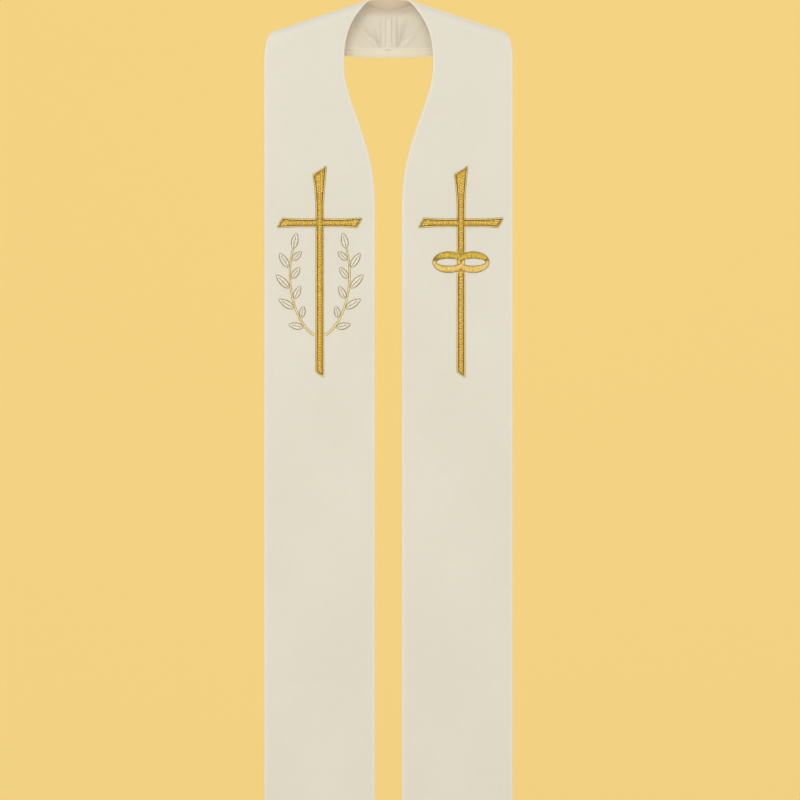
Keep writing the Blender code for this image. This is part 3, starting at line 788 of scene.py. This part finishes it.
def bar_beads(bar, lead_in):
    """Rows of plump stitches along a bar, each set between those of the next row."""
    start, end, half_width_at, slant, points = bar
    long = math.dist(start, end)
    stitches = []
    for row in (0, -1, 1, -2, 2):
        offset = row * BEAD_ROWS
        first = BEAD_PITCH * (0.4 + 0.5 * (row % 2)) - lead_in
        stop = long - 0.0018 - FILL_INSET + slant / 2 * offset / half_width_at(1.0)
        for place in np.arange(first, stop - BEAD_PITCH * 0.6, BEAD_PITCH):
            half = half_width_at(np.clip(place / long, 0, 1))
            if abs(offset) + 0.0012 < half - FILL_INSET + 0.0004:
                lean = BEAD_LEAN if len(stitches) % 2 else -BEAD_LEAN
                shares = np.array([place, place + BEAD_PITCH * 0.62]) / long
                sides = (offset + np.array([-lean, lean])) / half
                stitches.append(bar_place(bar, shares, sides).ravel())
    return stitches


def bar_outline(bar, rows=60):
    share = np.linspace(0, 1, rows)
    return np.concatenate([bar_place(bar, share, 1.0), bar_place(bar, share[::-1], -1.0)])


def gold_look(name, dark, light, metallic, roughness):
    look, shader, grain = new_look(name, roughness, Metallic=metallic, Anisotropic=0.4)
    split = add_node(look, "SeparateXYZ", [(0, grain)])
    twist = maths(look, "ADD", split.outputs[0], maths(look, "MULTIPLY", split.outputs[1], 1.4))
    plies = maths(look, "SINE", maths(look, "MULTIPLY", twist, 15000))
    here = add_node(look, "TexCoord").outputs["Object"]
    fine = [("Vector", here), ("Scale", 450.0), ("Detail", 3.0)]
    tone = add_node(look, "TexNoise", fine).outputs[0]
    colour = shade_between(look, tone, dark, light, 0.34, 0.66)
    height = maths(look, "ADD", maths(look, "MULTIPLY", plies, 0.4), tone)
    smooth, dull = roughness - 0.08, roughness + 0.08
    rough = add_node(look, "MapRange", [(0, tone), (1, 0.3), (2, 0.7), (3, smooth), (4, dull)])
    return finish_look(look, shader, colour, height, 0.00006, rough.outputs[0])


gold_rim = gold_look("gold_rim", (0.93, 0.73, 0.24), (1.00, 0.90, 0.44), 0.30, 0.42)
gold_fill = gold_look("gold_fill", (0.69, 0.44, 0.030), (1.00, 0.77, 0.11), 0.40, 0.40)
gold_bead = gold_look("gold_bead", (0.92, 0.72, 0.18), (1.00, 0.90, 0.38), 0.30, 0.36)
# The dark line: partly a dark thread, partly painted shade in the gap between rim and fill.
gold_line = gold_look("gold_line", (0.05, 0.024, 0.003), (0.13, 0.062, 0.008), 0.15, 0.60)
gold_bed = gold_look("gold_bed", (0.38, 0.20, 0.012), (0.64, 0.38, 0.04), 0.40, 0.45)
# Painted shadow: dark stitches along each cross's outline stand for the shade at its raised edge.
edge_painted_shadow = gold_look("edge_painted_shadow", (0.19, 0.13, 0.03), (0.34, 0.24, 0.07), 0.20, 0.55)
CROSS_LOOKS = [gold_bed, gold_rim, gold_bead, gold_line, gold_fill, edge_painted_shadow]
BED, RIM, BEAD, LINE, FILL, EDGE_SHADOW = range(len(CROSS_LOOKS))


def open_at(end, stitches):
    """An edge's stitches, less those across the end where a shaft runs on under the rings."""
    middle = (stitches[:, :2] + stitches[:, 2:]) / 2
    beside = abs(middle[:, 0] - end[0]) > BAR / 2 - RIM_STITCH - 0.0004
    return stitches[beside | (abs(middle[:, 1] - end[1]) > 0.0045)]


def sew_cross(bars, beads, outline, end):
    """A cross's padding, filling, bead chain, dark line, satin rim and painted edge shadow, as one
    piece of sewing.
    """
    parts = padding([bar_padding(bar, 24) for bar in bars])
    if len(bars) > 1:
        x, low = bars[2][0]
        crossing = ((x, low + BAR), (x, low), lambda share: BAR / 2 + 0 * share, 0.0, 0.0)
        parts += padding([bar_padding(crossing, 3)], 0.00001)
    fill = []
    for number, bar in enumerate(bars):
        fill += bar_fill(bar, BAR if number == 2 else 0.0)
    mixed = np.where(np.arange(len(fill)) % 3, FILL, BED)
    parts.append(sew(fill, THREAD * 1.15, 0.0003, mixed))
    chain = []
    for bar, lead_in in beads:
        chain += bar_beads(bar, lead_in)
    parts.append(sew(chain, BEAD_THICK, 0.00042, BEAD))
    ways = inward_ways(outline)
    outline, ways = np.concatenate([outline, outline[:1]]), np.concatenate([ways, ways[:1]])
    rim = open_at(end, satin_rim(outline, ways, RIM_STITCH))
    parts.append(sew(rim, THREAD, 0.00030, RIM))
    line = open_at(end, stitch_line(outline + ways * (RIM_STITCH + 0.00030), 0.0018))
    parts.append(sew(line, 0.00100, 0.00038, LINE))
    # Dark stitches along the outline: painted shadow at the cross's raised edge.
    edge = open_at(end, stitch_line(outline + ways * 0.00010, 0.0020))
    parts.append(sew(edge, 0.00070, 0.00022, EDGE_SHADOW))
    return join_sewing(parts)


def cross_bars(x, shaft_end_z, foot_width, foot_slant, foot_point):
    """The top, right arm, shaft and left arm: start, end, half width, slant and point of each."""
    arm_z = CROSS_TOP_Z - ARM_DROP
    half = BAR / 2
    top_width = flare(BAR, TOP_WIDTH, 1 - TOP_FLARE / (ARM_DROP - half))
    arm_width = flare(BAR, ARM_END, 1 - ARM_FLARE / (ARM_REACH - half))
    top = ((x, arm_z + half), (x, CROSS_TOP_Z - TOP_SLANT / 2), top_width, -TOP_SLANT, 0.0)
    right = ((x + half, arm_z), (x + ARM_REACH, arm_z), arm_width, ARM_SLANT, 0.0)
    shaft_width = flare(BAR, foot_width, 0.4)
    shaft = ((x, arm_z - half), (x, shaft_end_z), shaft_width, foot_slant, foot_point)
    left = ((x - half, arm_z), (x - ARM_REACH, arm_z), arm_width, ARM_SLANT, 0.0)
    return [top, right, shaft, left]


def bead_runs(bars):
    """Each bar with how far before its start the beads begin: the shaft's cross the middle."""
    return [(bars[2], BAR), (bars[0], 0.0), (bars[1], 0.0), (bars[3], 0.0)]


foot_z = CROSS_TOP_Z - CROSS_HEIGHT + FOOT_SLANT / 2
whole = cross_bars(CROSS_X["left"], foot_z, FOOT_WIDTH, FOOT_SLANT, 0.0)
broken = cross_bars(CROSS_X["right"], RING_Z + SHAFT_STOP, BAR, 0.0, SHAFT_POINT)
foot_start = (CROSS_X["right"], RING_Z - SHAFT_STOP)
foot_end = (CROSS_X["right"], foot_z)
foot = (foot_start, foot_end, flare(BAR, FOOT_WIDTH, 0.2), FOOT_SLANT, -SHAFT_POINT)
for name, bars, beads, end in (
    ("cross_left", whole, bead_runs(whole), (0, 0)),
    ("cross_right", broken, bead_runs(broken), broken[2][1]),
    ("cross_right_foot", [foot], [(foot, -0.0005)], foot_start),
):
    outline = np.concatenate([bar_outline(bar) for bar in bars])
    apart = np.linalg.norm(outline - np.roll(outline, 1, axis=0), axis=1) > 1e-6
    outline = outline[apart]
    points, faces, grain, look = sew_cross(bars, beads, outline, end)
    piece = add_piece("sewn_" + name, points, faces, CROSS_LOOKS, grain, look)
    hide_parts(name)


# The linked rings: two broad bands of gold satin stitch, each laid over its own padding and
# edged with a fine brown line. Where one crosses over the other, the lower one is left unsewn.
# The upper half of each ring is the inside of the band, in a darker gold, with painted shade at
# its outer end.
RING_SPREAD = 0.0156
RING_HALF_WIDTH = 0.0205
RING_HALF_HEIGHT = 0.0135
RING_SIDE_BAND = 0.0043
RING_TALL_BAND = 0.0086
RING_GAP = 0.0003

ring_upper = gold_look("ring_upper", (0.50, 0.36, 0.035), (0.84, 0.64, 0.10), 0.42, 0.38)
ring_lower = gold_look("ring_lower", (0.72, 0.50, 0.11), (0.93, 0.73, 0.27), 0.38, 0.36)
# Painted shade for the outer end of each ring's upper half.
ring_painted_shade = gold_look("ring_painted_shade", (0.24, 0.15, 0.02), (0.56, 0.38, 0.06), 0.42, 0.38)
brown_line = gold_look("brown_line", (0.20, 0.11, 0.025), (0.33, 0.19, 0.05), 0.20, 0.55)
RING_LOOKS = [ring_upper, ring_upper, ring_lower, brown_line, ring_painted_shade]
UPPER, LOWER, OUTLINED, SHADED = 1, 2, 3, 4


def strip_padding(grid, crown):
    """Padding under a strip: raised by the crown at each place across it, sunk at its edges."""
    height = np.broadcast_to(0.0002 + crown, grid.shape[:2]).copy()
    height[:, [0, -1]] = SUNK
    return padding([np.concatenate([grid, height[..., None]], axis=2)])


def ring_radii(inset):
    return RING_HALF_WIDTH - RING_SIDE_BAND * inset, RING_HALF_HEIGHT - RING_TALL_BAND * inset


def ring_meets(inset, edge, low, high):
    """The angle between low and high where a line round one ring crosses an edge of the other."""
    wide, tall = ring_radii(inset)
    for _ in range(40):
        angle = (low + high) / 2
        across = (wide * math.cos(angle) - 2 * RING_SPREAD) / edge[0]
        rise = tall * math.sin(angle) / edge[1]
        if across**2 + rise**2 < 1:
            low = angle
        else:
            high = angle
    return low


def ring_line(inset, count, half_turn):
    """Places and angles along a line round a ring, from where it opens to where it closes."""
    outside = [radius + RING_GAP for radius in ring_radii(0)]
    opening = [radius - RING_GAP for radius in ring_radii(1)]
    opens = ring_meets(inset, outside, math.radians(20), math.radians(80))
    closes = ring_meets(inset, opening, 0, math.radians(40)) + 2 * math.pi
    angles = np.linspace(opens, closes, count) + (math.pi if half_turn else 0)
    wide, tall = ring_radii(inset)
    x = CROSS_X["right"] + (RING_SPREAD if half_turn else -RING_SPREAD)
    return np.stack([x + wide * np.cos(angles), RING_Z + tall * np.sin(angles)], axis=1), angles


for name, half_turn in (("ring_left", False), ("ring_right", True)):
    insets = np.linspace(0, 1, 7)
    grid = np.stack([ring_line(inset, 120, half_turn)[0] for inset in insets], axis=1)
    parts = strip_padding(grid, 0.00045 * np.sin(np.pi * insets))
    outer_edge, angles = ring_line(0, 250, half_turn)
    inner_edge, _ = ring_line(1, 250, half_turn)
    band = np.concatenate([outer_edge, inner_edge], axis=1)
    upper = np.sin(angles) > 0.12
    # Painted shade: the upper half darkens towards the ring's outer end.
    at_end = (np.cos(angles) > 0.86) if half_turn else (np.cos(angles) < -0.66)
    golds = np.where(upper & at_end, SHADED, np.where(upper, UPPER, LOWER))
    parts.append(sew(band, 0.00056, 0.00022, golds, 0.00045))
    for edge, thickness in ((outer_edge, 0.00060), (inner_edge, 0.00078)):
        parts.append(sew(stitch_line(edge, 0.0019), thickness, 0.00012, OUTLINED))
    points, faces, grain, look = join_sewing(parts)
    piece = add_piece("sewn_" + name, points, faces, RING_LOOKS, grain, look)
    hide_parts(name)


# The leaf sprays: a bowed stem in gold satin stitch on each side of the whole cross, with pointed
# leaves in cream satin. Each leaf is two rows of slanting stitches that meet at a gold rib, and a
# fine gold line runs round it.
SPRAY_CURVE = [(0.0072, -0.4300), (0.0300, -0.4180), (0.0460, -0.3650), (0.0340, -0.3200)]
STEM_WIDTH = 0.0024
STEM_STITCHES = 320
LEAF_LENGTH = 0.0230
LEAF_WIDTH = 0.0086
LEAF_TIP_WIDTH = 0.0006
LEAF_SPREAD = math.radians(38)
LEAF_GAP = 0.0005
LEAF_PITCH = 0.00050
# Each leaf: share of the stem, side of the stem (1 outside), size against the longest leaf.
LEAVES = (
    (0.14, 1, 0.80),
    (0.24, -1, 0.62),
    (0.36, 1, 0.95),
    (0.46, -1, 0.74),
    (0.58, 1, 1.00),
    (0.68, -1, 0.74),
    (0.80, 1, 0.90),
    (0.88, -1, 0.66),
    (1.00, 0, 0.86),
)
cream_satin = gold_look("cream_satin", (0.80, 0.75, 0.60), (0.94, 0.91, 0.80), 0.0, 0.40)
leaf_line = gold_look("leaf_line", (0.16, 0.09, 0.025), (0.30, 0.18, 0.05), 0.20, 0.50)
STEM_LOOKS = [gold_fill, gold_rim, leaf_line]
LEAF_LOOKS = [cream_satin, cream_satin, leaf_line]
SATIN, FINE_LINE = 1, 2


def ribbon(curve, half_widths, offsets):
    """Places across a curved strip at each of these offsets, as a grid."""
    ahead = np.gradient(curve, axis=0)
    across = np.stack([-ahead[:, 1], ahead[:, 0]], axis=1)
    across /= np.linalg.norm(across, axis=1, keepdims=True)
    return curve[:, None] + across[:, None] * half_widths[:, None, None] * offsets[None, :, None]


def sew_leaf(base, direction, size):
    """A pointed leaf: its padding, two rows of satin stitches, the outline and the rib."""
    shares = np.linspace(0, 1, 40)
    curve = base + direction * LEAF_LENGTH * size * shares[:, None]
    tip, full = LEAF_TIP_WIDTH / 2, LEAF_WIDTH / 2 * (0.6 + 0.4 * size)
    half_widths = tip + (full - tip) * np.sin(np.pi * shares**0.85) ** 0.8
    offsets = np.linspace(-1, 1, 7)
    parts = strip_padding(ribbon(curve, half_widths, offsets), 0.00035 * np.sqrt(1 - offsets**2))
    edges = ribbon(curve, half_widths, np.array([-1.0, 1.0]))
    count = int(LEAF_LENGTH * size / LEAF_PITCH)
    for side in (0, 1):
        rib = walk(curve, np.linspace(0.0, 0.90, count))
        edge = walk(edges[:, side], np.linspace(0.03, 1.0, count))
        parts.append(sew(np.concatenate([rib, edge], axis=1), 0.00055, 0.00030, SATIN, 0.00020))
    outline = np.concatenate([edges[:, 0], edges[::-1, 1]])
    parts.append(sew(stitch_line(outline, 0.0017), 0.00092, 0.00014, FINE_LINE))
    rib = stitch_line(walk(curve, [0.0, 0.82]), 0.0020)
    parts.append(sew(rib, 0.00068, 0.00050, FINE_LINE))
    return join_sewing(parts)


def sew_stem(curve, half_widths):
    """A stem: its padding, slanting satin stitches across it, and a fine line at each edge."""
    offsets = np.linspace(-1, 1, 5)
    parts = strip_padding(ribbon(curve, half_widths, offsets), 0.0003 * np.sqrt(1 - offsets**2))
    edges = ribbon(curve, half_widths, np.array([-1.0, 1.0]))
    low = walk(edges[:, 0], np.linspace(0.0, 0.994, STEM_STITCHES))
    high = walk(edges[:, 1], np.linspace(0.006, 1.0, STEM_STITCHES))
    parts.append(sew(np.concatenate([low, high], axis=1), 0.00050, 0.00018, SATIN, 0.00025))
    for side in (0, 1):
        parts.append(sew(stitch_line(edges[:, side], 0.0019), 0.00062, 0.00010, FINE_LINE))
    return join_sewing(parts)


stem = walk(bezier(SPRAY_CURVE), np.linspace(0, 1, 15))
fine_stem = bezier(SPRAY_CURVE, 160)
for side_name, mirror in (("outer", -1), ("inner", 1)):
    centre, flip = np.array([CROSS_X["left"], 0.0]), np.array([mirror, 1.0])
    half_widths = np.linspace(STEM_WIDTH / 2, STEM_WIDTH / 3, 160)
    points, faces, grain, look = sew_stem(centre + fine_stem * flip, half_widths)
    piece = add_piece(f"sewn_stem_{side_name}", points, faces, STEM_LOOKS, grain, look)
    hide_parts(f"spray_{side_name}_stem")
    sewn_leaves = []
    for share, side, size in LEAVES:
        place, ahead = walk(stem, [share - 0.01, share])
        direction = (ahead - place) / np.linalg.norm(ahead - place)
        across, up = direction
        cos, sin = math.cos(side * LEAF_SPREAD), -math.sin(side * LEAF_SPREAD)
        turned = np.array([across * cos - up * sin, across * sin + up * cos])
        away = STEM_WIDTH / 2 + LEAF_GAP + LEAF_TIP_WIDTH if side else LEAF_GAP
        outward = np.array([up, -across]) * side if side else direction
        base = ahead + outward * away
        sewn_leaves.append(sew_leaf(centre + base * flip, turned * flip, size))
    points, faces, grain, look = join_sewing(sewn_leaves)
    piece = add_piece(f"sewn_leaves_{side_name}", points, faces, LEAF_LOOKS, grain, look)
    numbers = range(1, len(LEAVES) + 1)
    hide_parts(*[f"spray_{side_name}_leaf_{number}" for number in numbers])


# The floor and the light: a pale floor below the hems, a sand-coloured backdrop that glows a
# little far behind, one broad soft light in front on the left, a weaker one on the right, a
# faint one from above, and one behind for the back of the neck.
def plain_look(name, colour, roughness, glow=(0, 0, 0), glow_strength=0.0):
    look = bpy.data.materials.new(name)
    look.use_nodes = True
    shader = look.node_tree.nodes["Principled BSDF"]
    shader.inputs["Base Color"].default_value = (*colour, 1.0)
    shader.inputs["Roughness"].default_value = roughness
    shader.inputs["Emission Color"].default_value = (*glow, 1.0)
    shader.inputs["Emission Strength"].default_value = glow_strength
    return look


def add_plain(name, points, look):
    mesh = bpy.data.meshes.new(name)
    mesh.from_pydata(points, [], [list(range(len(points)))])
    mesh.materials.append(look)
    thing = bpy.data.objects.new(name, mesh)
    bpy.context.collection.objects.link(thing)


FLOOR_RADIUS = 2.8
FLOOR_Z = -1.47
DAYLIGHT = (1.0, 0.985, 0.965)
turns = np.linspace(0, 2 * math.pi, 96, endpoint=False)
floor_points = [(FLOOR_RADIUS * math.cos(a), FLOOR_RADIUS * math.sin(a), FLOOR_Z) for a in turns]
add_plain("floor", floor_points, plain_look("pale_floor", (0.78, 0.73, 0.64), 0.85))
backdrop_points = [(-4, 6.5, -3.5), (4, 6.5, -3.5), (4, 6.5, 3.0), (-4, 6.5, 3.0)]
sand = plain_look("sand_backdrop", (0.97, 0.82, 0.32), 0.9, (1.0, 0.49, 0.12), 0.25)
add_plain("backdrop", backdrop_points, sand)

for name, place, aim_z, size, watts, colour in (
    ("key_light", (-0.75, -3.3, 0.50), -0.42, 1.5, 35, DAYLIGHT),
    ("fill_light", (0.7, -4.2, -0.3), -0.4, 1.6, 24, DAYLIGHT),
    ("top_light", (0.0, -0.25, 2.3), 0.0, 1.4, 8, DAYLIGHT),
    ("back_light", (0.6, 3.4, 1.6), -0.4, 2.0, 50, (1.0, 0.98, 0.95)),
):
    light = bpy.data.lights.new(name, "AREA")
    light.size = size
    light.energy = watts
    light.color = colour
    lamp = bpy.data.objects.new(name, light)
    lamp.location = place
    beam = Vector((0, 0, aim_z)) - Vector(place)
    lamp.rotation_euler = beam.to_track_quat("-Z", "Y").to_euler()
    bpy.context.collection.objects.link(lamp)
world = bpy.data.worlds.new("studio")
world.use_nodes = True
world.node_tree.nodes["Background"].inputs["Color"].default_value = (0.76, 0.73, 0.67, 1.0)
world.node_tree.nodes["Background"].inputs["Strength"].default_value = 0.80
bpy.context.scene.world = world
